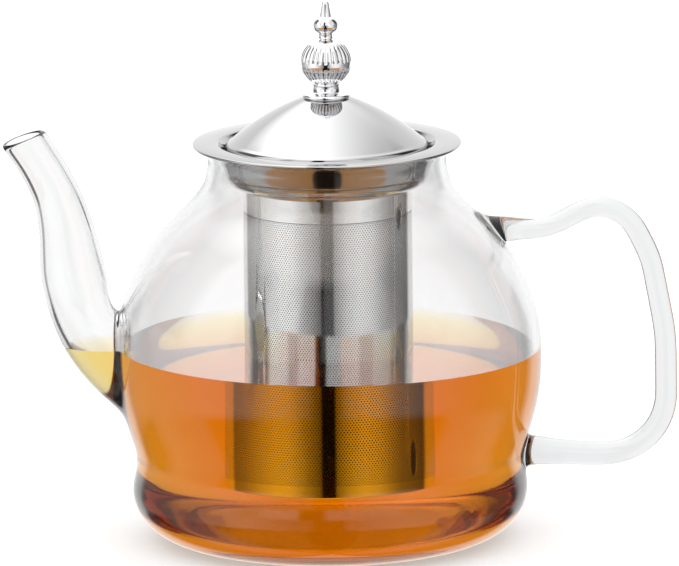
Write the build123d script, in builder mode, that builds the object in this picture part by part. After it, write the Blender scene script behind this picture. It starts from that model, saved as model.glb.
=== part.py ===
from build123d import *
import os

# Glass teapot with a lift-out stainless steel infuser and lid. Millimetres.
# +Z is up and the origin is the centre of the flat base. +X points at the handle, -X at the spout.

os.makedirs("parts", exist_ok=True)

# ---- driving dimensions ----------------------------------------------------------------------

# blown glass body
BASE_RADIUS = 42.0
FOOT_RADIUS = 65.3
FOOT_HEIGHT = 17.0
GROOVE_RADIUS = 64.0
GROOVE_HEIGHT = 24.8
BELLY_RADIUS = 70.2
BELLY_HEIGHT = 61.5
NECK_RADIUS = 39.4
NECK_START = 126.0
RIM_HEIGHT = 131.7
GLASS_WALL = 2.2
GLASS_BASE = 3.5
WALL_STEPS = 24
RIM_ROUNDING = 0.9

# spout: the centre line in the XZ plane from inside the body to past the mouth, with its radii
SPOUT_LINE = [
    (-60.0, 55.5),
    (-70.0, 64.0),
    (-78.0, 72.3),
    (-82.5, 82.0),
    (-84.8, 94.5),
    (-86.8, 107.5),
    (-90.1, 118.0),
    (-95.2, 127.6),
    (-100.2, 135.2),
    (-105.2, 142.0),
]
SPOUT_RADII = [15.2, 14.2, 13.0, 11.6, 10.3, 8.7, 7.6, 7.2, 7.3, 7.6]
SPOUT_WALL = 1.7
MOUTH_POINT = (-100.0, 135.2)
MOUTH_TILT = 19.5

# handle: a bent glass rod, its corner points in the XZ plane and the bend radius at each
ROD_RADIUS = 3.7
HANDLE_LINE = [
    (59.2, 102.9),
    (72.2, 102.7),
    (95.3, 115.3),
    (106.5, 92.9),
    (111.2, 67.4),
    (111.5, 27.0),
    (86.0, 27.0),
    (67.4, 28.3),
]
HANDLE_BENDS = [20.0, 14.0, 30.0, 60.0, 20.0, 60.0]

# the gobs of glass that weld the handle to the body
GOB_RADIUS = 4.7
GOB_SHOULDER = 0.6
UPPER_GOB_START = 52.0
LOWER_GOB_START = 62.5

# stainless steel infuser
SHEET = 0.6
FLANGE_RADIUS = 44.4
FLANGE_THICKNESS = 1.0
FLANGE_BORE = 35.6
SEAT_GAP = 0.1
COLLAR_DEPTH = 15.1
BASKET_RADIUS = 27.8
BASKET_FLOOR = 20.0
BASKET_OVERLAP = 2.0
BASKET_CUP = 3.0
CUP_ROUNDING = 1.2

# lid
LID_RADIUS = 33.0
LID_SHOULDER = 132.6
LID_SKIRT_END = 126.4
LID_CROWN_RADIUS = 8.0
LID_CROWN = 147.6
LID_DOME = 80.0
LID_ROUNDING = 1.6

# knob and its fastening
KNOB_FOOT_RADIUS = 8.3
KNOB_FOOT = 1.4
KNOB_FOOT_CHAMFER = 0.6
KNOB_BALL_RADIUS = 8.4
KNOB_BALL_CENTRE = 159.4
WAIST_RADIUS = 4.35
NECKLET_RADIUS = 2.2
SMALL_BALL_RADIUS = 4.1
SMALL_BALL_CENTRE = 171.6
KNOB_TIP = 179.9
TIP_RADIUS = 1.2
SCREW_RADIUS = 2.0
SCREW_DEPTH = 5.0
SCREW_HEAD_RADIUS = 3.6
SCREW_HEAD = 2.2
SCREW_SLOT = 0.9
SCREW_HEAD_ROUNDING = 0.8
SCREW_END_GAP = 0.5
WASHER_RADIUS = 5.4
WASHER_THICKNESS = 0.8

FLANGE_TOP = RIM_HEIGHT + SEAT_GAP + FLANGE_THICKNESS
COLLAR_END = FLANGE_TOP - COLLAR_DEPTH


# ---- blown glass body ------------------------------------------------------------------------


def body_side():
    """The outside of the blown body as one smooth line, from the edge of the base up to the neck."""
    return Spline(
        (BASE_RADIUS, 0),
        (56.6, 3.1),
        (62.8, 8.8),
        (FOOT_RADIUS, FOOT_HEIGHT),
        (GROOVE_RADIUS, GROOVE_HEIGHT),
        (66.7, 38.0),
        (69.3, 48.8),
        (BELLY_RADIUS, BELLY_HEIGHT),
        (69.3, 73.3),
        (64.0, 89.0),
        (54.0, 104.4),
        (45.6, 112.8),
        (41.0, 118.8),
        (NECK_RADIUS, NECK_START),
        tangents=[(1, 0), (0, 1)],
        tangent_scalars=[1, 1],
    )


def inside_points():
    """Points on the inside of the wall: the outside line moved in by the wall, from the floor's edge up."""
    with BuildLine() as outside_line:
        body_side()
    side = outside_line.edges()[0]
    points = [(BASE_RADIUS, GLASS_BASE)]
    for step in range(3, WALL_STEPS + 1):
        along = side % (step / WALL_STEPS)
        points.append(side @ (step / WALL_STEPS) + Vector(-along.Y, along.X) * GLASS_WALL)
    return points


INSIDE_POINTS = inside_points()

with BuildPart() as body_envelope:
    with BuildSketch(Plane.XZ):
        with BuildLine():
            side = body_side()
            Polyline(side @ 1, (NECK_RADIUS, RIM_HEIGHT), (0, RIM_HEIGHT), (0, 0), side @ 0)
        make_face()
    revolve(axis=Axis.Z)

with BuildPart() as glass_wall:
    with BuildSketch(Plane.XZ) as wall_section:
        with BuildLine():
            outside = body_side()
            inside = Spline(INSIDE_POINTS, tangents=[(1, 0), (0, 1)], tangent_scalars=[1, 1])
            Line((0, 0), outside @ 0)
            Polyline(outside @ 1, (NECK_RADIUS, RIM_HEIGHT), ((inside @ 1).X, RIM_HEIGHT), inside @ 1)
            Polyline(inside @ 0, (0, GLASS_BASE), (0, 0))
        make_face()
        fillet(wall_section.vertices().group_by(Axis.Y)[-1], radius=RIM_ROUNDING)
    revolve(axis=Axis.Z)


# ---- spout -----------------------------------------------------------------------------------


def spout_tube(inset):
    """The spout as one smooth solid along its centre line, each section drawn in by the inset."""
    with BuildLine(Plane.XZ) as centre:
        Spline(SPOUT_LINE)
    path = centre.wires()[0]
    with BuildPart() as tube:
        for point, radius in zip(SPOUT_LINE, SPOUT_RADII):
            t = path.param_at_point(Vector(point[0], 0, point[1]))
            with BuildSketch(Plane(origin=path @ t, x_dir=(0, 1, 0), z_dir=path % t)):
                Circle(radius - inset)
        loft()
    return tube.part


spout_outside = spout_tube(0)
spout_bore = spout_tube(SPOUT_WALL)

with BuildPart() as spout:
    add(spout_outside)
    add(spout_bore, mode=Mode.SUBTRACT)
    add(body_envelope.part, mode=Mode.SUBTRACT)
    mouth = Plane(origin=(MOUTH_POINT[0], 0, MOUTH_POINT[1])).rotated((0, -MOUTH_TILT, 0))
    split(bisect_by=mouth, keep=Keep.BOTTOM)

with BuildPart() as glass_body:
    add(glass_wall.part)
    add(spout_bore, mode=Mode.SUBTRACT)


# ---- handle and the gobs that weld it on -------------------------------------------------------

with BuildPart() as handle:
    with BuildLine(Plane.XZ) as rod_line:
        FilletPolyline(*HANDLE_LINE, radius=HANDLE_BENDS)
    with BuildSketch(Plane(origin=rod_line.line @ 0, z_dir=rod_line.line % 0)):
        Circle(ROD_RADIUS)
    sweep()


def weld_gob(start, end):
    """A flared gob of glass round the rod's end, between the body's outside and the rod."""
    length = end[0] - start
    with BuildPart() as gob:
        with BuildSketch(Plane((start, 0, end[1]), x_dir=(0, 1, 0), z_dir=(1, 0, 0))):
            Circle(GOB_RADIUS)
        with BuildSketch(Plane((start + GOB_SHOULDER * length, 0, end[1]), x_dir=(0, 1, 0), z_dir=(1, 0, 0))):
            Circle((GOB_RADIUS + ROD_RADIUS) / 2)
        with BuildSketch(Plane((end[0], 0, end[1]), x_dir=(0, 1, 0), z_dir=(1, 0, 0))):
            Circle(ROD_RADIUS)
        loft()
        add(body_envelope.part, mode=Mode.SUBTRACT)
        add(handle.part, mode=Mode.SUBTRACT)
    return gob


handle_upper_joint = weld_gob(UPPER_GOB_START, HANDLE_LINE[0])
handle_lower_joint = weld_gob(LOWER_GOB_START, HANDLE_LINE[-1])


# ---- infuser ---------------------------------------------------------------------------------

with BuildPart() as infuser_rim:
    with BuildSketch(Plane.XZ):
        with BuildLine():
            flange = Polyline(
                (FLANGE_RADIUS, FLANGE_TOP - FLANGE_THICKNESS),
                (FLANGE_RADIUS, FLANGE_TOP),
                (FLANGE_BORE, FLANGE_TOP),
            )
            bowl = Spline(
                flange @ 1,
                (34.6, FLANGE_TOP - 1.6),
                (33.6, FLANGE_TOP - 7.0),
                (31.6, FLANGE_TOP - 12.4),
                (BASKET_RADIUS, COLLAR_END + SHEET),
                tangents=[(-1, -0.4), (-1, -0.12)],
                tangent_scalars=[1, 1],
            )
            Line(bowl @ 1, (BASKET_RADIUS, COLLAR_END))
            outside = Spline(
                (BASKET_RADIUS, COLLAR_END),
                (32.1, FLANGE_TOP - 12.8),
                (34.25, FLANGE_TOP - 7.0),
                (FLANGE_BORE - 0.2, FLANGE_TOP - 2.2),
                (FLANGE_BORE + 0.9, FLANGE_TOP - FLANGE_THICKNESS),
                tangents=[(1, 0.12), (1, 0.25)],
                tangent_scalars=[1, 1],
            )
            Line(outside @ 1, (FLANGE_RADIUS, FLANGE_TOP - FLANGE_THICKNESS))
        make_face()
    revolve(axis=Axis.Z)
    outer_edges = infuser_rim.edges().filter_by(GeomType.CIRCLE).sort_by(SortBy.RADIUS)[-2:]
    fillet(outer_edges, radius=0.45 * FLANGE_THICKNESS)

with BuildPart() as basket_wall:
    with BuildSketch(Plane.XY.offset(BASKET_FLOOR)):
        Circle(BASKET_RADIUS)
        Circle(BASKET_RADIUS - SHEET, mode=Mode.SUBTRACT)
    extrude(amount=COLLAR_END + BASKET_OVERLAP - BASKET_FLOOR)

with BuildPart() as basket_bottom:
    with BuildSketch(Plane.XY.offset(BASKET_FLOOR)):
        Circle(BASKET_RADIUS - SHEET)
    extrude(amount=BASKET_CUP)
    fillet(basket_bottom.edges().group_by(Axis.Z)[0], radius=CUP_ROUNDING)
    offset(amount=-SHEET, openings=basket_bottom.faces().sort_by(Axis.Z)[-1])


# ---- lid -------------------------------------------------------------------------------------


def lid_outline(inset):
    """Half the lid's section: a shallow dome, a rounded shoulder and a straight skirt."""
    with BuildSketch(Plane.XZ) as half:
        with BuildLine():
            crown = Line((0, LID_CROWN - inset), (LID_CROWN_RADIUS, LID_CROWN - inset))
            dome = RadiusArc(crown @ 1, (LID_RADIUS - inset, LID_SHOULDER - inset), LID_DOME)
            skirt = Line(dome @ 1, (LID_RADIUS - inset, LID_SKIRT_END - inset))
            Polyline(skirt @ 1, (0, LID_SKIRT_END - inset), crown @ 0)
        make_face()
        fillet(half.vertices().sort_by(Axis.X)[-2:].sort_by(Axis.Y)[-1], radius=LID_ROUNDING)
    return half.sketch


with BuildPart() as lid_shell:
    add(lid_outline(0))
    revolve(axis=Axis.Z)
    add(lid_outline(SHEET))
    revolve(axis=Axis.Z, mode=Mode.SUBTRACT)
    with Locations((0, 0, LID_CROWN)):
        Hole(radius=SCREW_RADIUS)

# knob: a foot disc, a waist, the ribbed ball, a neck, a small ball and a tapered tip
with BuildPart() as knob:
    with BuildSketch(Plane.XZ):
        with BuildLine():
            foot = Polyline(
                (0, LID_CROWN),
                (KNOB_FOOT_RADIUS - KNOB_FOOT_CHAMFER, LID_CROWN),
                (KNOB_FOOT_RADIUS, LID_CROWN + KNOB_FOOT_CHAMFER),
                (KNOB_FOOT_RADIUS - 0.4, LID_CROWN + KNOB_FOOT),
            )
            waist = ThreePointArc(
                foot @ 1,
                (WAIST_RADIUS, LID_CROWN + 4.1),
                (5.0, KNOB_BALL_CENTRE - 6.4),
            )
            ball = ThreePointArc(
                waist @ 1,
                (KNOB_BALL_RADIUS, KNOB_BALL_CENTRE),
                (2.9, KNOB_BALL_CENTRE + 7.9),
            )
            neck = ThreePointArc(
                ball @ 1,
                (NECKLET_RADIUS, SMALL_BALL_CENTRE - 3.3),
                (2.7, SMALL_BALL_CENTRE - 2.3),
            )
            bead = ThreePointArc(
                neck @ 1,
                (SMALL_BALL_RADIUS, SMALL_BALL_CENTRE),
                (1.9, SMALL_BALL_CENTRE + 3.1),
            )
            spike = Line(bead @ 1, (TIP_RADIUS, KNOB_TIP - TIP_RADIUS))
            tip = JernArc(spike @ 1, tangent=(0, 1), radius=TIP_RADIUS, arc_size=90)
            Line(tip @ 1, (0, LID_CROWN))
        make_face()
    revolve(axis=Axis.Z)
    with Locations(Location((0, 0, LID_CROWN), (180, 0, 0))):
        Hole(radius=SCREW_RADIUS, depth=SCREW_DEPTH)

# the underside of the crown, where the washer bears
CROWN_UNDERSIDE = LID_CROWN - SHEET

with BuildPart() as knob_washer:
    with BuildSketch(Plane.XY.offset(CROWN_UNDERSIDE)):
        Circle(WASHER_RADIUS)
        Circle(SCREW_RADIUS, mode=Mode.SUBTRACT)
    extrude(amount=-WASHER_THICKNESS)

with BuildPart() as knob_screw:
    with BuildSketch(Plane.XY.offset(CROWN_UNDERSIDE - WASHER_THICKNESS)):
        Circle(SCREW_HEAD_RADIUS)
    extrude(amount=-SCREW_HEAD)
    fillet(knob_screw.edges().group_by(Axis.Z)[0], radius=SCREW_HEAD_ROUNDING)
    with BuildSketch(Plane.XY.offset(CROWN_UNDERSIDE - WASHER_THICKNESS)):
        Circle(SCREW_RADIUS)
    extrude(amount=LID_CROWN + SCREW_DEPTH - SCREW_END_GAP - CROWN_UNDERSIDE + WASHER_THICKNESS)
    with BuildSketch(Plane.XY.offset(CROWN_UNDERSIDE - WASHER_THICKNESS - SCREW_HEAD)):
        Rectangle(2 * SCREW_HEAD_RADIUS, SCREW_SLOT)
    extrude(amount=SCREW_SLOT, mode=Mode.SUBTRACT)


# ---- export ----------------------------------------------------------------------------------

pieces = {
    "glass_body": glass_body,
    "spout": spout,
    "handle": handle,
    "handle_upper_joint": handle_upper_joint,
    "handle_lower_joint": handle_lower_joint,
    "infuser_rim": infuser_rim,
    "basket_wall": basket_wall,
    "basket_bottom": basket_bottom,
    "lid_shell": lid_shell,
    "knob": knob,
    "knob_washer": knob_washer,
    "knob_screw": knob_screw,
}

for name, piece in pieces.items():
    piece.part.label = name
    export_step(piece.part, f"parts/{name}.step")
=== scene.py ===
import math

import bmesh
import bpy
import numpy as np
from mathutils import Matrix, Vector


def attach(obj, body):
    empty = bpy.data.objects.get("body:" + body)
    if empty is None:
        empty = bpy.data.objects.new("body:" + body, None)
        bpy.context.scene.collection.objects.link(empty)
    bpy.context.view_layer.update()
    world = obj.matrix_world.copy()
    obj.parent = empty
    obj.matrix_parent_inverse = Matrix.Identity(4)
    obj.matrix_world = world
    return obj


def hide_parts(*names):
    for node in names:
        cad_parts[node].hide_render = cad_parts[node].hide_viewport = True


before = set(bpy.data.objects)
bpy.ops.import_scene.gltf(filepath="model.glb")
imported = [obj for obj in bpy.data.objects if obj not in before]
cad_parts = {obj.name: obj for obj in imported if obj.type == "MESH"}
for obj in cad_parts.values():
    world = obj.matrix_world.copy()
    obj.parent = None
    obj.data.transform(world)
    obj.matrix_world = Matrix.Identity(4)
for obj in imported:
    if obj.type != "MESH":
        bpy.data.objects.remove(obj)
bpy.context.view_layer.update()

# Visual model of the glass teapot. All profile values are millimetres in the part's own frame;
# meshes are scaled to metres when they are made. The camera looks along +Y at the object.

MM = 0.001

# ---- values shared with the CAD part ----------------------------------------------------------

GLASS_WALL = 2.2
GLASS_BASE = 3.5
BODY_LINE = [
    (42.0, 0.0),
    (56.6, 3.1),
    (62.8, 8.8),
    (65.3, 17.0),
    (64.0, 24.8),
    (66.7, 38.0),
    (69.3, 48.8),
    (70.2, 61.5),
    (69.3, 73.3),
    (64.0, 89.0),
    (54.0, 104.4),
    (45.6, 112.8),
    (41.0, 118.8),
    (39.4, 126.0),
]
RIM_HEIGHT = 131.7
SPOUT_LINE = [
    (-60.0, 55.5),
    (-70.0, 64.0),
    (-78.0, 72.3),
    (-82.5, 82.0),
    (-84.8, 94.5),
    (-86.8, 107.5),
    (-90.1, 118.0),
    (-95.2, 127.6),
    (-100.2, 135.2),
    (-105.2, 142.0),
]
SPOUT_RADII = [15.2, 14.2, 13.0, 11.6, 10.3, 8.7, 7.6, 7.2, 7.3, 7.6]
SPOUT_WALL = 1.7
HANDLE_LINE = [
    (59.2, 102.9),
    (72.2, 102.7),
    (95.3, 115.3),
    (106.5, 92.9),
    (111.2, 67.4),
    (111.5, 27.0),
    (86.0, 27.0),
    (67.4, 28.3),
]
HANDLE_BENDS = [20.0, 14.0, 30.0, 60.0, 20.0, 60.0]
FLANGE_TOP = 132.8
LID_CROWN = 147.6

# ---- glass and tea ------------------------------------------------------------------------------

GLASS_IOR = 1.47
GLASS_TINT = (0.10, 0.13, 0.15)
GLASS_DENSITY = 38
TEA_IOR = 1.23
TEA_TINT = (0.96, 0.77, 0)
TEA_DENSITY = 65
TEA_LEVEL = 64.8
TEA_LEAN = math.radians(0.6)
TEA_OVERLAP = 0.2


# ---- mesh helpers -------------------------------------------------------------------------------


def cubic(share, start, end, leaving, arriving):
    """The point at this share of the cubic that leaves start and arrives at end along these slopes."""
    return (
        (1 + 2 * share) * (1 - share)**2 * start
        + share * (1 - share)**2 * leaving
        + share**2 * (3 - 2 * share) * end
        + share**2 * (share - 1) * arriving
    )


def curve_through(points, start=None, end=None, samples=900):
    """A smooth line through the points, as close samples. start and end are unit end directions."""
    points = np.array(points, float)
    step = np.linalg.norm(np.diff(points, axis=0), axis=1)
    count = len(points)
    system = np.zeros((count, count))
    wanted = np.zeros_like(points)
    for i in range(1, count - 1):
        before, after = 1 / step[i - 1], 1 / step[i]
        system[i, i - 1:i + 2] = before, 2 * (before + after), after
        wanted[i] = 3 * ((points[i] - points[i - 1]) * before**2 + (points[i + 1] - points[i]) * after**2)
    system[0, :2] = (2, 1) if start is None else (1, 0)
    wanted[0] = 3 * (points[1] - points[0]) / step[0] if start is None else start
    system[-1, -2:] = (1, 2) if end is None else (0, 1)
    wanted[-1] = 3 * (points[-1] - points[-2]) / step[-1] if end is None else end
    slopes = np.linalg.solve(system, wanted)
    knots = np.concatenate([[0], np.cumsum(step)])
    t = np.linspace(0, knots[-1], samples)
    i = np.clip(np.searchsorted(knots, t, side="right") - 1, 0, count - 2)
    width = step[i][:, None]
    u = ((t - knots[i]) / step[i])[:, None]
    return cubic(u, points[i], points[i + 1], width * slopes[i], width * slopes[i + 1])


def lengths_along(line):
    """The distance from the line's start to each of its samples."""
    return np.concatenate([[0], np.cumsum(np.linalg.norm(np.diff(line, axis=0), axis=1))])


def at_lengths(line, distances):
    """Points on a sampled line at these distances from its start."""
    along = lengths_along(line)
    return np.stack([np.interp(distances, along, line[:, k]) for k in range(line.shape[1])], axis=-1)


def directions(line):
    """The unit direction of a sampled line at each sample."""
    slope = np.gradient(line, axis=0)
    return slope / np.linalg.norm(slope, axis=1)[:, None]


def rounded_path(corners, radii, step=0.4):
    """A polyline whose inner corners are rounded to these radii, as close samples."""
    corners = np.array(corners, float)
    path = [corners[0]]
    for before, corner, after, radius in zip(corners, corners[1:], corners[2:], radii):
        back = (before - corner) / np.linalg.norm(before - corner)
        ahead = (after - corner) / np.linalg.norm(after - corner)
        opening = math.acos(np.clip(back @ ahead, -1, 1))
        reach = radius / math.tan(opening / 2)
        middle = corner + (back + ahead) / np.linalg.norm(back + ahead) * radius / math.sin(opening / 2)
        first, last = corner + back * reach - middle, corner + ahead * reach - middle
        turn = math.pi - opening
        for share in np.linspace(0, 1, 24):
            weight_first = math.sin((1 - share) * turn) / math.sin(turn)
            weight_last = math.sin(share * turn) / math.sin(turn)
            path.append(middle + weight_first * first + weight_last * last)
    path.append(corners[-1])
    path = np.array(path)
    total = lengths_along(path)[-1]
    return at_lengths(path, np.linspace(0, total, int(total / step)))


def arc(start, end, radius, count):
    """Points of a circular arc that bulges to the left of the way from start to end."""
    start, end = np.array(start, float), np.array(end, float)
    chord = end - start
    across = np.array([-chord[1], chord[0]]) / np.linalg.norm(chord)
    half = np.linalg.norm(chord) / 2
    middle = (start + end) / 2 - across * math.sqrt(radius**2 - half**2)
    swing = math.asin(half / radius)
    outward = math.atan2(across[1], across[0])
    angles = np.linspace(outward + swing, outward - swing, count)
    return middle + radius * np.stack([np.cos(angles), np.sin(angles)], axis=1)


def new_object(name, points, faces, material, smooth=True, sharp=35):
    """A mesh object from points in millimetres, with edges sharper than the angle kept sharp."""
    mesh = bpy.data.meshes.new(name)
    mesh.from_pydata((np.array(points, float) * MM).tolist(), [], faces)
    mesh.validate()
    if smooth:
        mesh.polygons.foreach_set("use_smooth", [True] * len(mesh.polygons))
        mesh.set_sharp_from_angle(angle=math.radians(sharp))
    mesh.materials.append(material)
    obj = bpy.data.objects.new(name, mesh)
    bpy.context.scene.collection.objects.link(obj)
    return obj


def lathe(name, profile, material, around=256, closed=True, radius_at=None, sharp=35):
    """Turns a (radius, height) outline about Z. radius_at(radius, height, angles) may shape its rows.
    An outline that isn't closed gets a flat face at either end."""
    profile = np.array(profile, float)
    angles = np.arange(around) * 2 * math.pi / around
    points = []
    for radius, height in profile:
        radii = np.full(around, radius) if radius_at is None else radius_at(radius, height, angles)
        heights = np.full(around, height)
        points.append(np.stack([radii * np.cos(angles), radii * np.sin(angles), heights], axis=1))
    rows = len(profile)
    faces = []
    for i in range(rows if closed else rows - 1):
        below, above = i * around, (i + 1) % rows * around
        for j in range(around):
            k = (j + 1) % around
            faces.append((below + j, below + k, above + k, above + j))
    if not closed:
        faces.append(tuple(range(around))[::-1])
        faces.append(tuple(range((rows - 1) * around, rows * around)))
    return new_object(name, np.concatenate(points), faces, material, sharp=sharp)


# ---- materials ----------------------------------------------------------------------------------


def new_material(name):
    """An empty node material and its Principled shader."""
    material = bpy.data.materials.new(name)
    material.use_nodes = True
    shader = material.node_tree.nodes["Principled BSDF"]
    return material, material.node_tree, shader


def object_noise(tree, scale, stretch=(1, 1, 1), detail=4):
    """Noise fixed to the object, finer where a stretch factor is larger."""
    coordinates = tree.nodes.new("ShaderNodeTexCoord")
    mapping = tree.nodes.new("ShaderNodeMapping")
    mapping.inputs["Scale"].default_value = stretch
    noise = tree.nodes.new("ShaderNodeTexNoise")
    noise.inputs["Scale"].default_value = scale
    noise.inputs["Detail"].default_value = detail
    tree.links.new(coordinates.outputs["Object"], mapping.inputs["Vector"])
    tree.links.new(mapping.outputs["Vector"], noise.inputs["Vector"])
    return noise.outputs["Fac"]


def spread(tree, value, low, high):
    """A noise value, which is mostly 0.3 to 0.7, spread between low and high."""
    ramp = tree.nodes.new("ShaderNodeMapRange")
    ramp.inputs["From Min"].default_value = 0.3
    ramp.inputs["From Max"].default_value = 0.7
    ramp.inputs["To Min"].default_value = low
    ramp.inputs["To Max"].default_value = high
    tree.links.new(value, ramp.inputs["Value"])
    return ramp.outputs["Result"]


def bump(tree, height, strength, distance):
    """A bump normal from a height value."""
    node = tree.nodes.new("ShaderNodeBump")
    node.inputs["Strength"].default_value = strength
    node.inputs["Distance"].default_value = distance
    tree.links.new(height, node.inputs["Height"])
    return node.outputs["Normal"]


def face_mark(tree, name):
    """The 0 or 1 that the mesh keeps for each of its faces under this name."""
    mark = tree.nodes.new("ShaderNodeAttribute")
    mark.attribute_name = name
    return mark.outputs["Fac"]


def maths(tree, operation, *values):
    """One maths node. Each value is a number or a socket."""
    node = tree.nodes.new("ShaderNodeMath")
    node.operation = operation
    for socket, value in zip(node.inputs, values):
        if isinstance(value, (int, float)):
            socket.default_value = value
        else:
            tree.links.new(value, socket)
    return node.outputs["Value"]


def absorbing(tree, colour, density):
    """Fills the material's volume with an even absorption."""
    absorption = tree.nodes.new("ShaderNodeVolumeAbsorption")
    absorption.inputs["Color"].default_value = (*colour, 1)
    absorption.inputs["Density"].default_value = density
    tree.links.new(absorption.outputs["Volume"], tree.nodes["Material Output"].inputs["Volume"])


def clear_glass():
    """Clear borosilicate glass with the faint waviness of hand blowing. Where the tea wets the inside,
    the light bends at the tea's own surface, so there the glass doesn't bend it a second time."""
    material, tree, shader = new_material("clear_glass")
    shader.inputs["Base Color"].default_value = (1, 1, 1, 1)
    shader.inputs["Roughness"].default_value = 0
    shader.inputs["Transmission Weight"].default_value = 1
    waves = object_noise(tree, 24, detail=1)
    tree.links.new(bump(tree, waves, 0.12, 0.0012), shader.inputs["Normal"])
    coordinates = tree.nodes.new("ShaderNodeTexCoord")
    parts = tree.nodes.new("ShaderNodeSeparateXYZ")
    tree.links.new(coordinates.outputs["Object"], parts.inputs["Vector"])
    lean = maths(tree, "MULTIPLY", parts.outputs["X"], math.sin(TEA_LEAN))
    height = maths(tree, "ADD", parts.outputs["Z"], lean)
    below_tea = maths(tree, "LESS_THAN", height, TEA_LEVEL * MM)
    wet = maths(tree, "MULTIPLY", below_tea, face_mark(tree, "inside"))
    bending = maths(tree, "MULTIPLY_ADD", wet, 1 - GLASS_IOR, GLASS_IOR)
    tree.links.new(bending, shader.inputs["IOR"])
    absorbing(tree, GLASS_TINT, GLASS_DENSITY)
    return material


def amber_tea():
    """Black tea: clear liquid that takes out blue and green on the way through. A strong coat on its
    level top mirrors the light at the low angles that a pot is seen from."""
    material, tree, shader = new_material("amber_tea")
    shader.inputs["Base Color"].default_value = (1, 1, 1, 1)
    shader.inputs["Roughness"].default_value = 0
    shader.inputs["Transmission Weight"].default_value = 1
    against_glass = TEA_IOR / GLASS_IOR
    top = face_mark(tree, "tea_top")
    bending = maths(tree, "MULTIPLY_ADD", top, TEA_IOR - against_glass, against_glass)
    tree.links.new(bending, shader.inputs["IOR"])
    tree.links.new(top, shader.inputs["Coat Weight"])
    shader.inputs["Coat IOR"].default_value = 2.2
    shader.inputs["Coat Roughness"].default_value = 0.02
    absorbing(tree, TEA_TINT, TEA_DENSITY)
    return material


def steel(name, colour, low, high, grain=(1, 1, 1), grain_scale=60, relief=0.0):
    """Stainless steel whose roughness follows a fine grain between low and high."""
    material, tree, shader = new_material(name)
    shader.inputs["Base Color"].default_value = (*colour, 1)
    shader.inputs["Metallic"].default_value = 1
    grain_value = object_noise(tree, grain_scale, grain)
    tree.links.new(spread(tree, grain_value, low, high), shader.inputs["Roughness"])
    if relief:
        tree.links.new(bump(tree, grain_value, relief, 0.0002), shader.inputs["Normal"])
    return material


SHEET_COLOUR = (0.84, 0.835, 0.825)


def sheet_steel():
    """The drawn steel sheet of the basket, evenly bright. Its pattern is in the mesh."""
    material, tree, shader = new_material("perforated_sheet")
    shader.inputs["Base Color"].default_value = (*SHEET_COLOUR, 1)
    shader.inputs["Metallic"].default_value = 1
    shader.inputs["Roughness"].default_value = 0.07
    return material


def painted_hole_shade():
    """Painted shade: a near-black finish for the plates that close each fine hole half way through the
    sheet, standing in for the darkness seen into the open holes.
    """
    material, tree, shader = new_material("painted_hole_shade")
    shader.inputs["Base Color"].default_value = (0.012, 0.012, 0.012, 1)
    shader.inputs["Roughness"].default_value = 0.8
    shader.inputs["Specular IOR Level"].default_value = 0.2
    return material


glass_material = clear_glass()
tea_material = amber_tea()
polished = steel("polished_steel", (0.47, 0.47, 0.475), 0.015, 0.05, grain_scale=30)
chrome = steel("bright_chrome", (0.86, 0.86, 0.87), 0.02, 0.05, grain_scale=80)
satin = steel("satin_steel", SHEET_COLOUR, 0.04, 0.08, grain=(1, 1, 30), grain_scale=90, relief=0.008)
plain = steel("plain_steel", (0.55, 0.55, 0.55), 0.22, 0.38, grain_scale=140, relief=0.2)
perforated = sheet_steel()
# painted shade: the near-black of the plates that close the basket's fine holes half way through
painted_shade_in_hole = painted_hole_shade()


# ---- glass: one seamless cage for body, spout and handle -----------------------------------------

AROUND = 64
COLUMN_ANGLE = 2 * math.pi / AROUND
ROW_STEP = 5.65
ROWS_BETWEEN_WELDS = 15
LOWER_WELD = 28.3
UPPER_WELD = 102.9
SPOUT_COLUMNS = 2
SPOUT_ROWS = 3
SPOUT_ROOT_ROW = 6
SMOOTHING_ROUNDS = 60


def drawn_in(count):
    """The share of its radius that a ring of this many points keeps when it is subdivided."""
    return (4 + 2 * math.cos(2 * math.pi / count)) / 6


def control_points(limit):
    """The control points whose smooth subdivided line passes through the given points."""
    count = len(limit)
    system = np.eye(count) * 4
    system += np.eye(count, k=1) + np.eye(count, k=-1)
    wanted = 6 * np.array(limit, float)
    for end in (0, -1):
        system[end] = 0
        system[end, end] = 6
    return np.linalg.solve(system, wanted)


def glass_rows():
    """The wall's (radius, height) rows from base to rim, outside and inside, and the lower weld's row."""
    line = curve_through(BODY_LINE, start=(1, 0), end=(0, 1))
    along = lengths_along(line)
    lower = np.interp(LOWER_WELD, line[:, 1], along)
    upper = np.interp(UPPER_WELD, line[:, 1], along)
    below = np.linspace(0, lower, 9)[:-1]
    amid = np.linspace(lower, upper, ROWS_BETWEEN_WELDS + 1)
    above = np.linspace(upper, along[-1], 6)[1:]
    distances = np.concatenate([below, amid, above])
    rows = at_lengths(line, distances)
    way = np.stack([np.interp(distances, along, directions(line)[:, k]) for k in (0, 1)], axis=1)
    inner = rows + np.stack([-way[:, 1], way[:, 0]], axis=1) * GLASS_WALL
    return rows, inner, len(below)


outer_rows, inner_rows, weld_row = glass_rows()
NECK = BODY_LINE[-1][0]
NECK_HEIGHTS = (129.0, RIM_HEIGHT - 0.9)
FLOOR_RINGS = [12.0, 27.0, 36.5]
INSIDE_FOOT = [(42.0, GLASS_BASE), (48.0, GLASS_BASE + 0.1)]
outer_profile = np.array(
    [(radius, 0.0) for radius in FLOOR_RINGS]
    + [tuple(row) for row in outer_rows]
    + [(NECK, height) for height in NECK_HEIGHTS]
)
inner_start = [tuple(row) for row in inner_rows if row[1] > GLASS_BASE + 0.6]
inner_profile = np.array(
    [(radius, GLASS_BASE) for radius in FLOOR_RINGS]
    + INSIDE_FOOT
    + inner_start
    + [(NECK - GLASS_WALL, height) for height in NECK_HEIGHTS]
)
outer_weld = len(FLOOR_RINGS) + weld_row
inner_weld = len(FLOOR_RINGS + INSIDE_FOOT) + len(inner_start) - (len(inner_rows) - weld_row)
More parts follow.
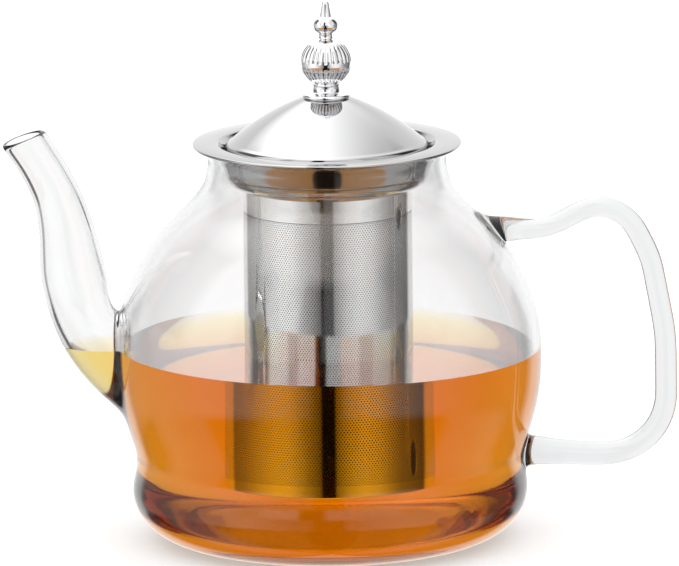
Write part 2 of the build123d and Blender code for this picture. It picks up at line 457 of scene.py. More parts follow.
rim_top = [(NECK - GLASS_WALL / 2, RIM_HEIGHT)]
profile_limit = np.concatenate([outer_profile, rim_top, inner_profile[::-1]])
profile_control = control_points(profile_limit)
PROFILE_ROWS = len(profile_limit)
inner_weld_row = PROFILE_ROWS - 1 - inner_weld


class Cage:
    """Collects the points and faces of the glass."""

    def __init__(self):
        self.points = []
        self.faces = []
        self.inside_faces = []

    def add_loop(self, points):
        """Adds points and gives their numbers."""
        first = len(self.points)
        self.points.extend(tuple(point) for point in points)
        return list(range(first, len(self.points)))

    def add_face(self, corners, inside=False):
        self.faces.append(tuple(corners))
        self.inside_faces.append(inside)

    def strip(self, first, second, inside=False):
        """Joins two closed loops of equal length with four-sided faces."""
        count = len(first)
        for k in range(count):
            n = (k + 1) % count
            self.add_face((first[k], first[n], second[n], second[k]), inside)


def loop_offsets(rows, columns):
    """The grid steps round a hole, from its top middle, towards larger angles first."""
    top = [(rows, c) for c in range(0, columns + 1)]
    right = [(r, columns) for r in range(rows - 1, -rows - 1, -1)]
    bottom = [(-rows, c) for c in range(columns - 1, -columns - 1, -1)]
    left = [(r, -columns) for r in range(-rows + 1, rows + 1)]
    end = [(rows, c) for c in range(-columns + 1, 0)]
    return top + right + bottom + left + end


class Hole:
    """A round hole in the wall's grid: its middle and size in grid steps, its half size in millimetres,
    and whether up the wall is to higher rows (1) or lower ones (-1)."""

    def __init__(self, row, column, rows, columns, half_height, half_width, up):
        self.row = row
        self.column = column
        self.rows = rows
        self.columns = columns
        self.half_height = half_height
        self.half_width = half_width
        self.up = up
        self.offsets = loop_offsets(rows, columns)

    def grid_loop(self):
        """The (row, column) points of its edge."""
        return [(self.row + self.up * r, (self.column + c) % AROUND) for r, c in self.offsets]

    def columns_away(self, j):
        """How many columns j is from the hole's middle, the short way round."""
        return (j - self.column + AROUND // 2) % AROUND - AROUND // 2

    def holds_face(self, i, j):
        inside_rows = self.row - self.rows <= i < self.row + self.rows
        return inside_rows and -self.columns <= self.columns_away(j) < self.columns

    def holds_point(self, i, j):
        return abs(i - self.row) < self.rows and abs(self.columns_away(j)) < self.columns


def wall_holes():
    """The holes in the wall: the spout's outside and bore, and the handle's upper and lower weld."""
    spout_row = outer_weld + SPOUT_ROOT_ROW
    bore_row = inner_weld_row - SPOUT_ROOT_ROW
    opposite = AROUND // 2
    return [
        Hole(spout_row, opposite, SPOUT_ROWS, SPOUT_COLUMNS, 18.2, 14.6, 1),
        Hole(bore_row, opposite, SPOUT_ROWS, SPOUT_COLUMNS, 16.2, 12.8, -1),
        Hole(outer_weld + ROWS_BETWEEN_WELDS, 0, 1, 1, 5.9, 5.7, 1),
        Hole(outer_weld, 0, 1, 1, 6.1, 6.2, 1),
    ]


def grid_shifts(holes):
    """How far each grid point moves, in rows and in columns, so that the holes' edges are round.
    The points near a hole follow smoothly."""
    shape = (PROFILE_ROWS, AROUND)
    moved_rows, moved_columns = np.zeros(shape), np.zeros(shape)
    fixed = np.ones(shape, bool)
    for hole in holes:
        for i in range(hole.row - hole.rows - 2, hole.row + hole.rows + 3):
            for c in range(-hole.columns - 2, hole.columns + 3):
                fixed[i, (hole.column + c) % AROUND] = False
        column_width = profile_limit[hole.row, 0] * COLUMN_ANGLE
        turns = 2 * math.pi * np.arange(len(hole.offsets)) / len(hole.offsets)
        for turn, (i, j) in zip(turns, hole.grid_loop()):
            rows_up = hole.up * hole.half_height * math.cos(turn) / ROW_STEP
            columns_along = hole.half_width * math.sin(turn) / column_width
            moved_rows[i, j] = hole.row + rows_up - i
            moved_columns[i, j] = columns_along - hole.columns_away(j)
            fixed[i, j] = True
    for _ in range(SMOOTHING_ROUNDS):
        for field in (moved_rows, moved_columns):
            neighbours = [np.roll(field, step, axis) for axis in (1, 0) for step in (1, -1)]
            mean = sum(neighbours) / len(neighbours)
            field[~fixed] = mean[~fixed]
    return moved_rows, moved_columns


def wall_point(row, angle):
    """A cage point on the wall at a fractional row and an angle."""
    index = np.arange(PROFILE_ROWS)
    radius = np.interp(row, index, profile_control[:, 0]) / drawn_in(AROUND)
    height = np.interp(row, index, profile_control[:, 1])
    return radius * math.cos(angle), radius * math.sin(angle), height


def build_glass():
    """The whole glass as one cage: wall, spout and handle."""
    holes = wall_holes()
    moved_rows, moved_columns = grid_shifts(holes)
    cage = Cage()
    number = np.full((PROFILE_ROWS, AROUND), -1)
    for i in range(PROFILE_ROWS):
        for j in range(AROUND):
            if not any(hole.holds_point(i, j) for hole in holes):
                point = wall_point(i + moved_rows[i, j], (j + moved_columns[i, j]) * COLUMN_ANGLE)
                number[i, j] = cage.add_loop([point])[0]
    inside_from = len(outer_profile)
    for i in range(PROFILE_ROWS - 1):
        for j in range(AROUND):
            if not any(hole.holds_face(i, j) for hole in holes):
                k = (j + 1) % AROUND
                corners = (number[i, j], number[i, k], number[i + 1, k], number[i + 1, j])
                cage.add_face(corners, i >= inside_from)
    cage.add_face(number[0])
    cage.add_face(number[-1], True)
    edges = [[number[i, j] for i, j in hole.grid_loop()] for hole in holes]
    spout_edge, bore_edge, upper_edge, lower_edge = edges
    add_spout(cage, spout_edge, bore_edge)
    add_handle(cage, upper_edge, lower_edge)
    return cage


TO_FRONT = np.array((0, -1, 0))
TO_BACK = np.array((0, 1, 0))


def ring_round(centre, up, side, radius, count):
    """A cage ring of points round a centre in the XZ plane, from up towards a side, that ends up with
    this radius when it is subdivided. Its sense is that of the hole which it is joined to."""
    turns = 2 * math.pi * np.arange(count) / count
    out = np.cos(turns)[:, None] * up + np.sin(turns)[:, None] * side
    return np.array((centre[0], 0, centre[1])) + radius / drawn_in(count) * out


FIRST_RING_LENGTH = 42.5
PAST_LAST_KNOT = 4
MOUTH = np.array((-100.0, 0.0, 135.2))
MOUTH_TILT = math.radians(19.5)
MOUTH_NORMAL = np.array((-math.sin(MOUTH_TILT), 0.0, math.cos(MOUTH_TILT)))
MOUTH_RINGS_BELOW = (2.4, 0.7)
LIP_RISE = 0.25
SPOUT_ROUND = 20
SPOUT_RINGS = 12
ROOT_RINGS = 6
ROOT_DIRECTION = np.array((-0.80, 0, 0.60))
ROOT_PULL = 1.15

spout_line = curve_through(SPOUT_LINE)
spout_along = lengths_along(spout_line)
spout_way = directions(spout_line)
spout_knots = [spout_along[np.argmin(np.linalg.norm(spout_line - point, axis=1))] for point in SPOUT_LINE]


def spout_ring(distance, inset):
    """The spout's ring at a distance along it, drawn in by the inset, and the direction there."""
    tx, tz = [np.interp(distance, spout_along, spout_way[:, k]) for k in (0, 1)]
    radius = np.interp(distance, spout_knots, SPOUT_RADII) - inset
    centre = at_lengths(spout_line, distance)
    ring = ring_round(centre, np.array((tz, 0, -tx)), TO_FRONT, radius, SPOUT_ROUND)
    return ring, np.array((tx, 0, tz))


def cut_at_mouth(ring, direction, below):
    """Slides a ring's points along the spout until they lie this far below the mouth's plane."""
    distance = ((MOUTH - below * MOUTH_NORMAL - ring) @ MOUTH_NORMAL) / (direction @ MOUTH_NORMAL)
    return ring + distance[:, None] * direction


def add_spout_side(cage, root_loop, inset, first_length, is_inside):
    """One side of the spout's wall from its root to the mouth, as strips. Gives the last loop."""
    first, direction = spout_ring(first_length, inset)
    start = np.array([cage.points[n] for n in root_loop])
    pull = ROOT_PULL * np.linalg.norm(first - start, axis=1)[:, None]
    rings = [
        cubic(share, start, first, pull * ROOT_DIRECTION, pull * direction)
        for share in np.arange(1, ROOT_RINGS) / ROOT_RINGS
    ]
    lengths = np.linspace(FIRST_RING_LENGTH, spout_knots[-3] + PAST_LAST_KNOT, SPOUT_RINGS)
    rings += [spout_ring(distance, inset)[0] for distance in lengths]
    mouth_ring, direction = spout_ring(spout_knots[-2], inset)
    rings += [cut_at_mouth(mouth_ring, direction, below) for below in MOUTH_RINGS_BELOW]
    previous = root_loop
    for ring in rings:
        current = cage.add_loop(ring)
        cage.strip(previous, current, is_inside)
        previous = current
    return previous


def add_spout(cage, root_loop, bore_loop):
    """The spout's outside and bore, from the two loops at its root to the rounded lip of its mouth."""
    outside_end = add_spout_side(cage, root_loop, 0, FIRST_RING_LENGTH, False)
    inside_end = add_spout_side(cage, bore_loop, SPOUT_WALL, FIRST_RING_LENGTH - 1, True)
    lip_ring, direction = spout_ring(spout_knots[-2], SPOUT_WALL / 2)
    lip = cage.add_loop(cut_at_mouth(lip_ring, direction, -LIP_RISE))
    cage.strip(inside_end, lip)
    cage.strip(outside_end, lip)


# the rod's radius at shares of its length, from the upper weld to the lower one
HANDLE_RADII = {0.0: 4.3, 0.02: 3.6, 0.08: 3.2, 0.2: 3.45, 0.5: 3.6, 0.8: 3.8, 0.95: 4.1, 1.0: 4.9}
ROD_ROUND = 8
ROD_RINGS = 46


def add_handle(cage, upper_loop, lower_loop):
    """The handle rod from the upper weld to the lower one."""
    path = rounded_path(HANDLE_LINE, HANDLE_BENDS)
    way = directions(path)
    along = lengths_along(path)
    previous = upper_loop
    for share in np.linspace(0, 1, ROD_RINGS):
        distance = share * along[-1]
        tx, tz = [np.interp(distance, along, way[:, k]) for k in (0, 1)]
        radius = np.interp(share, list(HANDLE_RADII), list(HANDLE_RADII.values()))
        centre = at_lengths(path, distance)
        ring = ring_round(centre, np.array((-tz, 0, tx)), TO_BACK, radius, ROD_ROUND)
        current = cage.add_loop(ring)
        cage.strip(previous, current)
        previous = current
    half = ROD_ROUND // 2
    cage.strip(previous, [lower_loop[(half - k) % ROD_ROUND] for k in range(ROD_ROUND)])


def mark_faces(obj, name, marks):
    """Keeps a 0 or 1 for each face, for the material to read."""
    attribute = obj.data.attributes.new(name, "FLOAT", "FACE")
    attribute.data.foreach_set("value", marks)


def subdivided(obj, levels):
    """Applies smooth subdivision to the object's mesh."""
    modifier = obj.modifiers.new("subdivision", "SUBSURF")
    modifier.levels = levels
    modifier.render_levels = levels
    shape = obj.evaluated_get(bpy.context.evaluated_depsgraph_get())
    mesh = bpy.data.meshes.new_from_object(shape)
    obj.modifiers.clear()
    obj.data = mesh


def make_glass():
    """The glass object. Its inner faces keep material index 1 until the tea is made from them."""
    cage = build_glass()
    obj = new_object("glass_teapot_body", cage.points, cage.faces, glass_material)
    obj.data.materials.append(glass_material)
    obj.data.polygons.foreach_set("material_index", [int(flag) for flag in cage.inside_faces])
    shape = bmesh.new()
    shape.from_mesh(obj.data)
    bmesh.ops.recalc_face_normals(shape, faces=shape.faces)
    shape.to_mesh(obj.data)
    shape.free()
    for edge in obj.data.edges:
        edge.use_edge_sharp = False
    subdivided(obj, 2)
    mark_faces(obj, "inside", [face.material_index for face in obj.data.polygons])
    return obj


def make_tea(glass):
    """The tea: the inside of the wall and spout up to the tea's level, reaching just into the glass."""
    shape = bmesh.new()
    shape.from_mesh(glass.data)
    bmesh.ops.delete(shape, geom=[f for f in shape.faces if f.material_index == 0], context="FACES")
    for vertex in shape.verts:
        vertex.co -= vertex.normal * TEA_OVERLAP * MM
    level = TEA_LEVEL * MM
    everything = shape.verts[:] + shape.edges[:] + shape.faces[:]
    tilted_up = (math.sin(TEA_LEAN), 0, 1)
    bmesh.ops.bisect_plane(
        shape, geom=everything, plane_co=(0, 0, level), plane_no=tilted_up, clear_outer=True
    )
    for face in shape.faces:
        face.smooth = True
    border = [edge for edge in shape.edges if edge.is_boundary]
    top = bmesh.ops.contextual_create(shape, geom=border)["faces"]
    for face in top:
        face.smooth = False
        for edge in face.edges:
            edge.smooth = False
    bmesh.ops.recalc_face_normals(shape, faces=shape.faces)
    tops = [0 if face.smooth else 1 for face in shape.faces]
    for face in shape.faces:
        face.material_index = 0
    mesh = bpy.data.meshes.new("tea")
    shape.to_mesh(mesh)
    shape.free()
    mesh.materials.append(tea_material)
    obj = bpy.data.objects.new("tea", mesh)
    bpy.context.scene.collection.objects.link(obj)
    mark_faces(obj, "tea_top", tops)
    return obj


# light crosses up to four walls of glass and tea, and turns back inside them at the foot
PATH_LENGTH = 40
bpy.context.scene.cycles.max_bounces = PATH_LENGTH
bpy.context.scene.cycles.transmission_bounces = PATH_LENGTH
bpy.context.scene.cycles.glossy_bounces = PATH_LENGTH // 2

glass = make_glass()
tea = make_tea(glass)
glass.data.polygons.foreach_set("material_index", [0] * len(glass.data.polygons))
glass.data.materials.pop(index=1)
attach(glass, "pot")
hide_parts("glass_body", "spout", "handle", "handle_upper_joint", "handle_lower_joint")
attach(tea, "pot")


# ---- infuser --------------------------------------------------------------------------------------

SHEET = 0.6
FLANGE_RADIUS = 44.4
FLANGE_BORE = 35.6
BASKET_RADIUS = 27.8
BASKET_FLOOR = 20.0
COLLAR_END = 117.7


def make_flange():
    """The flange with its rounded edge and the bowl-shaped collar below it."""
    underside = FLANGE_TOP - 1
    edge_out = arc((FLANGE_RADIUS - 0.5, FLANGE_TOP), (FLANGE_RADIUS - 0.5, underside), 0.51, 11)[::-1]
    edge_in = arc((FLANGE_BORE, FLANGE_TOP - 0.7), (FLANGE_BORE + 1.0, FLANGE_TOP), 1.0, 7)[::-1]
    bowl = curve_through(
        [
            (FLANGE_BORE, FLANGE_TOP - 0.7),
            (34.6, FLANGE_TOP - 2.4),
            (33.6, FLANGE_TOP - 7.0),
            (31.6, FLANGE_TOP - 12.4),
            (BASKET_RADIUS, COLLAR_END + SHEET),
        ],
        start=(-0.6, -0.8),
        samples=40,
    )
    outside = curve_through(
        [
            (BASKET_RADIUS, COLLAR_END),
            (32.1, FLANGE_TOP - 12.8),
            (34.25, FLANGE_TOP - 7.0),
            (FLANGE_BORE - 0.2, FLANGE_TOP - 2.2),
            (FLANGE_BORE + 0.9, underside),
        ],
        samples=40,
    )
    profile = np.concatenate([edge_out, edge_in, bowl[1:], outside])
    return lathe("infuser_flange_and_collar", profile, polished)


def make_band(name, low, high):
    """A plain band of the basket's sheet."""
    inner = BASKET_RADIUS - SHEET
    profile = [(inner, low), (BASKET_RADIUS, low), (BASKET_RADIUS, high), (inner, high)]
    return lathe(name, profile, satin, around=192)


HOLE_COLUMNS = 186
HOLE_ROW_PITCH = 0.69
HOLE_RADIUS = 0.24
HOLES_START = 25.7
HOLES_END = 110.0
PANELS = 6
FLOOR_PITCH = 1.05
FLOOR_EDGE = 1.5

# a hexagon's row height and corner distance, as shares of the distance to the next one
HEXAGON_ROW = 0.866
HEXAGON_CORNER = 0.5774


def hole_sheet(columns, rows, pitch, row_pitch, hole_radius):
    """A flat strip of six-sided cells in staggered rows, each with a hole: its points, its faces and the
    edges of its holes."""
    corner_steps = [(0, 2), (1, 1), (1, -1), (0, -2), (-1, -1), (-1, 1)]
    numbers = {}
    points = []
    faces = []
    rims = []
    for row in range(rows):
        for column in range(columns):
            across = 2 * column + row % 2
            corners = []
            for dx, dz in corner_steps:
                key = (across + dx, 3 * row + dz)
                if key not in numbers:
                    numbers[key] = len(points)
                    points.append((key[0] * pitch / 2, key[1] * row_pitch / 3))
                corners.append(numbers[key])
            first = len(points)
            for dx, dz in corner_steps:
                angle = math.atan2(dz / 2, dx * HEXAGON_ROW)
                points.append((
                    across * pitch / 2 + hole_radius * math.cos(angle),
                    row * row_pitch + hole_radius * math.sin(angle),
                ))
            for k in range(6):
                n = (k + 1) % 6
                faces.append((corners[k], corners[n], first + n, first + k))
                rims.append((first + k, first + n))
    return np.array(points), faces, rims


def paint_shade_on_last_faces(piece, count):
    """Gives the piece's last faces, which close its fine holes half way down, the near-black of painted
    shade for a deep hole; the real holes go right through the sheet.
    """
    piece.data.materials.append(painted_shade_in_hole)
    for face in piece.data.polygons[-count:]:
        face.material_index = 1


def make_basket_panels():
    """The perforated wall as six equal panels."""
    columns = HOLE_COLUMNS // PANELS
    rows = int((HOLES_END - HOLES_START) / HOLE_ROW_PITCH)
    pitch = 2 * math.pi * BASKET_RADIUS / HOLE_COLUMNS
    flat, faces, rims = hole_sheet(columns, rows, pitch, HOLE_ROW_PITCH, HOLE_RADIUS)
    count = len(flat)
    both = faces + [tuple(n + count for n in face[::-1]) for face in faces]
    both += [(b, a, a + count, b + count) for a, b in rims]
    rim_points = [a for a, b in rims]
    # a plate half way through the sheet closes each hole and carries the painted shade
    both += [tuple(range(first, first + 6)) for first in range(2 * count, 2 * count + len(rims), 6)]
    panels = []
    for panel in range(PANELS):
        angle = flat[:, 0] / BASKET_RADIUS + panel * 2 * math.pi / PANELS
        height = flat[:, 1] + HOLES_START
        way_out = np.stack([np.cos(angle), np.sin(angle)], axis=1)
        outside, middle, inside = [
            np.column_stack([radius * way_out, height])
            for radius in (BASKET_RADIUS, BASKET_RADIUS - SHEET / 2, BASKET_RADIUS - SHEET)
        ]
        points = np.concatenate([outside, inside, middle[rim_points]])
        piece = new_object(f"basket_perforated_panel_{panel + 1}", points, both, perforated, sharp=40)
        paint_shade_on_last_faces(piece, len(rims) // 6)
        panels.append(piece)
    return panels


def hexagon(x, y, radius):
    """The corners of a hexagon on the basket's floor."""
    turns = [math.radians(60 * k + 30) for k in range(6)]
    return [(x + radius * math.cos(turn), y + radius * math.sin(turn), BASKET_FLOOR) for turn in turns]


def make_basket_floor():
    """The perforated disc of the basket's bottom, in six-sided cells with a hole each."""
    radius = BASKET_RADIUS - SHEET - FLOOR_EDGE
    points = []
    faces = []
    steps = int(radius / FLOOR_PITCH) + 1
    for row in range(-steps, steps + 1):
        for column in range(-steps, steps + 1):
            x = (column + 0.5 * (row % 2)) * FLOOR_PITCH
            y = row * FLOOR_PITCH * HEXAGON_ROW
            if math.hypot(x, y) > radius - FLOOR_PITCH / 2:
                continue
            first = len(points)
            points += hexagon(x, y, FLOOR_PITCH * HEXAGON_CORNER)
            points += hexagon(x, y, HOLE_RADIUS)
            for k in range(6):
                n = (k + 1) % 6
                faces.append((first + k, first + n, first + 6 + n, first + 6 + k))
    points = np.array(points)
    count = len(points)
    cells = count // 12
    upper = points + np.array((0, 0, SHEET))
    rims = np.arange(count).reshape(cells, 12)[:, 6:].ravel()
    middle = points[rims] + np.array((0, 0, SHEET / 2))
    both = [face[::-1] for face in faces] + [tuple(n + count for n in face) for face in faces]
    # a plate half way through the sheet closes each hole and carries the painted shade
    both += [tuple(range(first, first + 6)) for first in range(2 * count, 2 * count + 6 * cells, 6)]
    everything = np.concatenate([points, upper, middle])
    piece = new_object("basket_perforated_floor", everything, both, perforated, sharp=40)
    paint_shade_on_last_faces(piece, cells)
    return piece


flange = make_flange()
top_band = make_band("basket_top_band", HOLES_END - 0.2, COLLAR_END + 0.6)
bottom_band = make_band("basket_bottom_band", BASKET_FLOOR + 0.6, HOLES_START + 0.2)
cup_profile = [
    (BASKET_RADIUS - SHEET - 1.9, BASKET_FLOOR),
    (BASKET_RADIUS - 1.2, BASKET_FLOOR),
    (BASKET_RADIUS - 0.35, BASKET_FLOOR + 0.35),
    (BASKET_RADIUS, BASKET_FLOOR + 0.8),
    (BASKET_RADIUS - SHEET, BASKET_FLOOR + 1.1),
    (BASKET_RADIUS - SHEET - 1.0, BASKET_FLOOR + SHEET),
    (BASKET_RADIUS - SHEET - 1.9, BASKET_FLOOR + SHEET),
]
floor_edge = lathe("basket_floor_edge", cup_profile, satin, around=192)
basket_floor = make_basket_floor()
panels = make_basket_panels()
for piece in (flange, top_band, bottom_band, floor_edge, basket_floor, *panels):
    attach(piece, "infuser")
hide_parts("infuser_rim")
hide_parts("basket_wall")
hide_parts("basket_bottom")


# ---- lid and knob ---------------------------------------------------------------------------------

LID_RADIUS = 33.0
LID_SHOULDER = 132.6
LID_SKIRT_END = 126.4
LID_DOME = 80.0
LID_CROWN_RADIUS = 8.0
LID_ROUNDING = 1.6


def lid_side(inset):
    """The lid's outline from its crown to the end of its skirt, drawn in by the inset."""
    dome_end = (LID_RADIUS - inset - 1.2, LID_SHOULDER - inset + 0.75)
    dome = arc((LID_CROWN_RADIUS, LID_CROWN - inset), dome_end, LID_DOME, 40)
    shoulder = arc(dome[-1], (LID_RADIUS - inset, LID_SHOULDER - inset - 0.9), LID_ROUNDING, 9)
    return np.concatenate([dome, shoulder[1:], [(LID_RADIUS - inset, LID_SKIRT_END)]])


def make_lid():
    """The domed lid with its rounded shoulder and skirt."""
    outside = np.concatenate([[(2.0, LID_CROWN)], lid_side(0)])
    inside = np.concatenate([[(2.0, LID_CROWN - SHEET)], lid_side(SHEET)])
    return lathe("lid_dome", np.concatenate([outside, inside[::-1]])[::-1], polished)


RIBS = 24
RIB_DEPTH = 0.34
BALL_CENTRE = 159.4
BALL_RADIUS = 8.4
# heights from the ball's centre: the plain band round it, and where the ribs start and are full
SMOOTH_BAND = (-1.3, 0.5)
RIBS_BELOW = (-6.3, -5.6)
RIBS_ABOVE = (7.4, 5.4)


def rib_weight(height):
    """How deep the ribs are at a height on the ball, from 0 to 1."""
    offset = height - BALL_CENTRE
    if SMOOTH_BAND[0] <= offset <= SMOOTH_BAND[1]:
        return 0
    weight = 1
    for start, full in (RIBS_ABOVE, RIBS_BELOW):
        weight *= np.clip((offset - start) / (full - start), 0, 1)
    return weight


def ribbed(radius, height, angles):
    """The ball's radius round one row, with convex ribs between narrow grooves."""
    groove = (1 - np.abs(np.sin(angles * RIBS / 2)))**1.6
    return radius - RIB_DEPTH * rib_weight(height) * groove * radius / BALL_RADIUS


def three_point_arc(start, middle, end, count):
    """Points of the circular arc through three points."""
    (ax, ay), (bx, by), (cx, cy) = start, middle, end
    system = 2 * np.array([(bx - ax, by - ay), (cx - ax, cy - ay)])
    wanted = np.array([bx**2 + by**2 - ax**2 - ay**2, cx**2 + cy**2 - ax**2 - ay**2])
    centre = np.linalg.solve(system, wanted)
    radius = math.dist(centre, start)
    turns = [math.atan2(y - centre[1], x - centre[0]) for x, y in (start, middle, end)]
    turns = np.unwrap(turns)
    angles = np.linspace(turns[0], turns[2], count)
    return centre + radius * np.stack([np.cos(angles), np.sin(angles)], axis=1)


def make_knob():
    """The turned knob: foot disc, waist, ribbed ball, neck, small ball and tapered tip."""
    foot = arc((7.6, LID_CROWN + 1.5), (7.4, LID_CROWN), 0.82, 12)[::-1]
    waist = three_point_arc((7.3, LID_CROWN + 1.62), (4.35, 151.7), (5.0, 153.0), 18)
    ball = three_point_arc((5.0, 153.0), (8.4, BALL_CENTRE), (2.9, 167.3), 90)
    neck = three_point_arc((2.9, 167.3), (2.2, 168.3), (2.7, 169.3), 8)
    bead = three_point_arc((2.7, 169.3), (4.1, 171.6), (1.9, 174.7), 30)
    tip = three_point_arc((1.2, 178.7), (0.849, 179.549), (0.02, 179.9), 8)
    profile = np.concatenate([foot, waist, ball[1:], neck[1:], bead[1:], tip])
    return lathe("knob_turned", profile, chrome, around=RIBS * 12, closed=False, radius_at=ribbed, sharp=50)


lid = make_lid()
knob = make_knob()
for piece in (lid, knob):
    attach(piece, "lid")
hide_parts("lid_shell")
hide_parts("knob")
for node in ("knob_washer", "knob_screw"):
    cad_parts[node].data.materials.clear()
    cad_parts[node].data.materials.append(plain)


# ---- studio ---------------------------------------------------------------------------------------

# brightness of the surroundings by compass angle, in degrees. 0 is the front of the pot (-Y)
ROUND_LIGHT = [
    (-180, 1.0),
    (-148, 1.0),
    (-140, 0.35),
    (-118, 0.45),
    (-90, 0.80),
    (-68, 1.05),
    (-50, 0.98),
    (-32, 0.58),
    (-11, 0.2),
    (-8.5, 0.008),
    (6.0, 0.008),
    (8.5, 0.3),
    (26, 0.75),
    (44, 0.95),
    (62, 0.80),
    (82, 0.43),
    (94, 0.27),
    (135, 0.12),
    (145, 1.0),
    (180, 1.0),
]
# the same above eye height: a dark card a little left of the front, and a dark gap at either side
HIGH_ROUND = [
    (-180, 1.0),
    (-140, 1.0),
    (-125, 0.15),
    (-95, 0.15),
    (-85, 1.3),
    (-60, 1.3),
    (-55, 0.75),
    (-45, 0.75),
    (-40, 1.2),
    (-20, 1.0),
    (-17, 0.01),
    (-5, 0.01),
    (-2, 0.8),
    (40, 1.1),
    (45, 0.7),
    (60, 0.7),
    (65, 0.9),
    (90, 0.6),
    (100, 0.05),
    (125, 0.05),
    (140, 1.0),
    (180, 1.0),
]
# and on the table: white behind, dull at the sides and a warm board in front with a dark middle
WHITE = (0.95, 0.95, 0.95)
DULL = (0.54, 0.53, 0.52)
WARM = (0.54, 0.25, 0.07)
SHADE = (0.09, 0.08, 0.075)
DARK = (0.01, 0.006, 0.004)
TABLE_ROUND = [
    (-180, WHITE),
    (-155, WHITE),
    (-145, SHADE),
    (-125, SHADE),
    (-110, DULL),
    (-78, DULL),
    (-70, WARM),
    (-18, WARM),
    (-15, DARK),
    (15, DARK),
    (18, WARM),
    (66, WARM),
    (74, DULL),
    (110, DULL),
    (125, SHADE),
    (145, SHADE),
    (155, WHITE),
    (180, WHITE),
]
# light seen straight through the glass, white but for one narrow shade at either side
THROUGH_ROUND = [
    (-180, 1.0),
    (-128, 1.0),
    (-122, 0.15),
    (-108, 0.15),
    (-102, 1.0),
    (102, 1.0),
    (108, 0.10),
    (122, 0.10),
    (128, 1.0),
    (180, 1.0),
]
LIGHT_STRENGTH = 1.15
OVERHEAD_LEFT = 1.95
OVERHEAD_RIGHT = 0.9
OVERHEAD_CHANGE = (-0.02, 0.5)

# heights in degrees over which the table, the walls and the ceiling run into each other
TABLE_EDGE = (-23, -19)
EYE_HEIGHT = (6, 9)
CEILING_EDGE = (50, 60)
CEILING_LOWER_BEHIND = 28


def soft_step(tree, value, low, high):
    """0 below low, 1 above high, and a straight slope between."""
    ramp = tree.nodes.new("ShaderNodeMapRange")
    ramp.inputs["From Min"].default_value = low
    ramp.inputs["From Max"].default_value = high
    tree.links.new(value, ramp.inputs["Value"])
    return ramp.outputs["Result"]


def between(tree, first, last, share):
    """The mix of two lights, from first at share 0 to last at share 1."""
    node = tree.nodes.new("ShaderNodeMix")
    node.data_type = "RGBA"
    tree.links.new(share, node.inputs["Factor"])
    for socket, value in zip((node.inputs[6], node.inputs[7]), (first, last)):
        if isinstance(value, float):
            socket.default_value = (value, value, value, 1)
        else:
            tree.links.new(value, socket)
    return node.outputs[2]


def light_round(tree, compass_share, table):
    """Light read from a table of (degrees, grey brightness or colour)."""
    ramp = tree.nodes.new("ShaderNodeValToRGB")
    tree.links.new(compass_share, ramp.inputs["Fac"])
    stops = ramp.color_ramp.elements
    stops.remove(stops[-1])
    for k, (degrees, light) in enumerate(table):
        position = degrees / 360 + 0.5
        stop = stops[0] if k == 0 else stops.new(position)
        stop.position = position
        stop.color = (*light, 1) if isinstance(light, tuple) else (light, light, light, 1)
    return ramp.outputs["Color"]


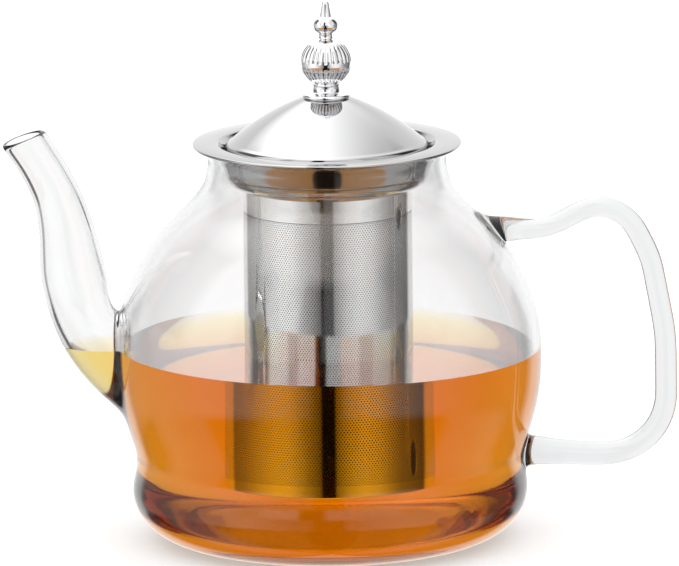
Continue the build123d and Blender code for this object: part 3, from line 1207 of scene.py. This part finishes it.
def make_world():
    """Soft studio light as a world: a white table and wall behind, a wide panel on either side of the
    front, darker sides and a bright ceiling. Light seen straight through the glass is plain white."""
    world = bpy.data.worlds.new("studio")
    bpy.context.scene.world = world
    world.use_nodes = True
    tree = world.node_tree
    background = tree.nodes["Background"]
    coordinates = tree.nodes.new("ShaderNodeTexCoord")
    split = tree.nodes.new("ShaderNodeSeparateXYZ")
    tree.links.new(coordinates.outputs["Generated"], split.inputs["Vector"])
    x, y, z = (split.outputs[axis] for axis in "XYZ")
    compass = maths(tree, "ARCTAN2", x, maths(tree, "MULTIPLY", y, -1.0))
    share = maths(tree, "ADD", maths(tree, "DIVIDE", compass, 2 * math.pi), 0.5)
    panels = light_round(tree, share, ROUND_LIGHT)
    high = light_round(tree, share, HIGH_ROUND)
    table = light_round(tree, share, TABLE_ROUND)

    rise = maths(tree, "ARCSINE", z)
    above_table = soft_step(tree, rise, *map(math.radians, TABLE_EDGE))
    above_eyes = soft_step(tree, rise, *map(math.radians, EYE_HEIGHT))
    behind = maths(tree, "MAXIMUM", y, 0.0)
    overhead_rise = maths(tree, "MULTIPLY_ADD", behind, math.radians(CEILING_LOWER_BEHIND), rise)
    overhead = soft_step(tree, overhead_rise, *map(math.radians, CEILING_EDGE))
    to_right = soft_step(tree, x, *OVERHEAD_CHANGE)
    ceiling = between(tree, OVERHEAD_LEFT, OVERHEAD_RIGHT, to_right)
    light = between(tree, table, panels, above_table)
    light = between(tree, light, high, above_eyes)
    light = between(tree, light, ceiling, overhead)
    path = tree.nodes.new("ShaderNodeLightPath")
    mirrored = maths(tree, "MINIMUM", path.outputs["Glossy Depth"], 1.0)
    light = between(tree, light_round(tree, share, THROUGH_ROUND), light, mirrored)
    tree.links.new(light, background.inputs["Color"])
    background.inputs["Strength"].default_value = LIGHT_STRENGTH


FLOOR_HALF_SIDE = 4.0
FLOOR_WHITE = 0.93
FLOOR_GLOW = 0.35


def make_floor():
    """A pale floor, white enough to run into the white behind."""
    side = FLOOR_HALF_SIDE
    corners = [(-side, -side, 0), (side, -side, 0), (side, side, 0), (-side, side, 0)]
    mesh = bpy.data.meshes.new("floor")
    mesh.from_pydata(corners, [], [(0, 1, 2, 3)])
    material, tree, shader = new_material("studio_floor")
    shader.inputs["Base Color"].default_value = (FLOOR_WHITE, FLOOR_WHITE, FLOOR_WHITE, 1)
    shader.inputs["Roughness"].default_value = 0.9
    shader.inputs["Specular IOR Level"].default_value = 0
    shader.inputs["Emission Color"].default_value = (1, 1, 1, 1)
    shader.inputs["Emission Strength"].default_value = FLOOR_GLOW
    mesh.materials.append(material)
    obj = bpy.data.objects.new("floor", mesh)
    bpy.context.scene.collection.objects.link(obj)
    obj.location.z = -0.0002
    obj.visible_glossy = False
    obj.visible_transmission = False


# camera: a long lens, seen from a little above, turned slightly on its own axis
CAMERA_DISTANCE = 4.0
CAMERA_RISE = 11.3
CAMERA_ROLL = 0.6
VIEW_WIDTH = 0.22407
AIM = Vector((0.0037, 0, 0.0853))
SENSOR = 36


def make_camera():
    """The camera of the photograph's view."""
    data = bpy.data.cameras.new("camera")
    data.sensor_width = SENSOR
    data.lens = SENSOR * CAMERA_DISTANCE / VIEW_WIDTH
    data.clip_start = 0.1
    data.clip_end = 20
    obj = bpy.data.objects.new("camera", data)
    bpy.context.scene.collection.objects.link(obj)
    rise = math.radians(CAMERA_RISE)
    back = Vector((0, -math.cos(rise), math.sin(rise)))
    obj.location = AIM + back * CAMERA_DISTANCE
    obj.rotation_euler = (math.pi / 2 - rise, 0, 0)
    obj.rotation_mode = "XYZ"
    obj.rotation_euler.rotate_axis("Z", -math.radians(CAMERA_ROLL))
    bpy.context.scene.camera = obj


make_world()
make_floor()
make_camera()
bpy.context.scene.view_settings.view_transform = "Standard"

bpy.context.view_layer.update()
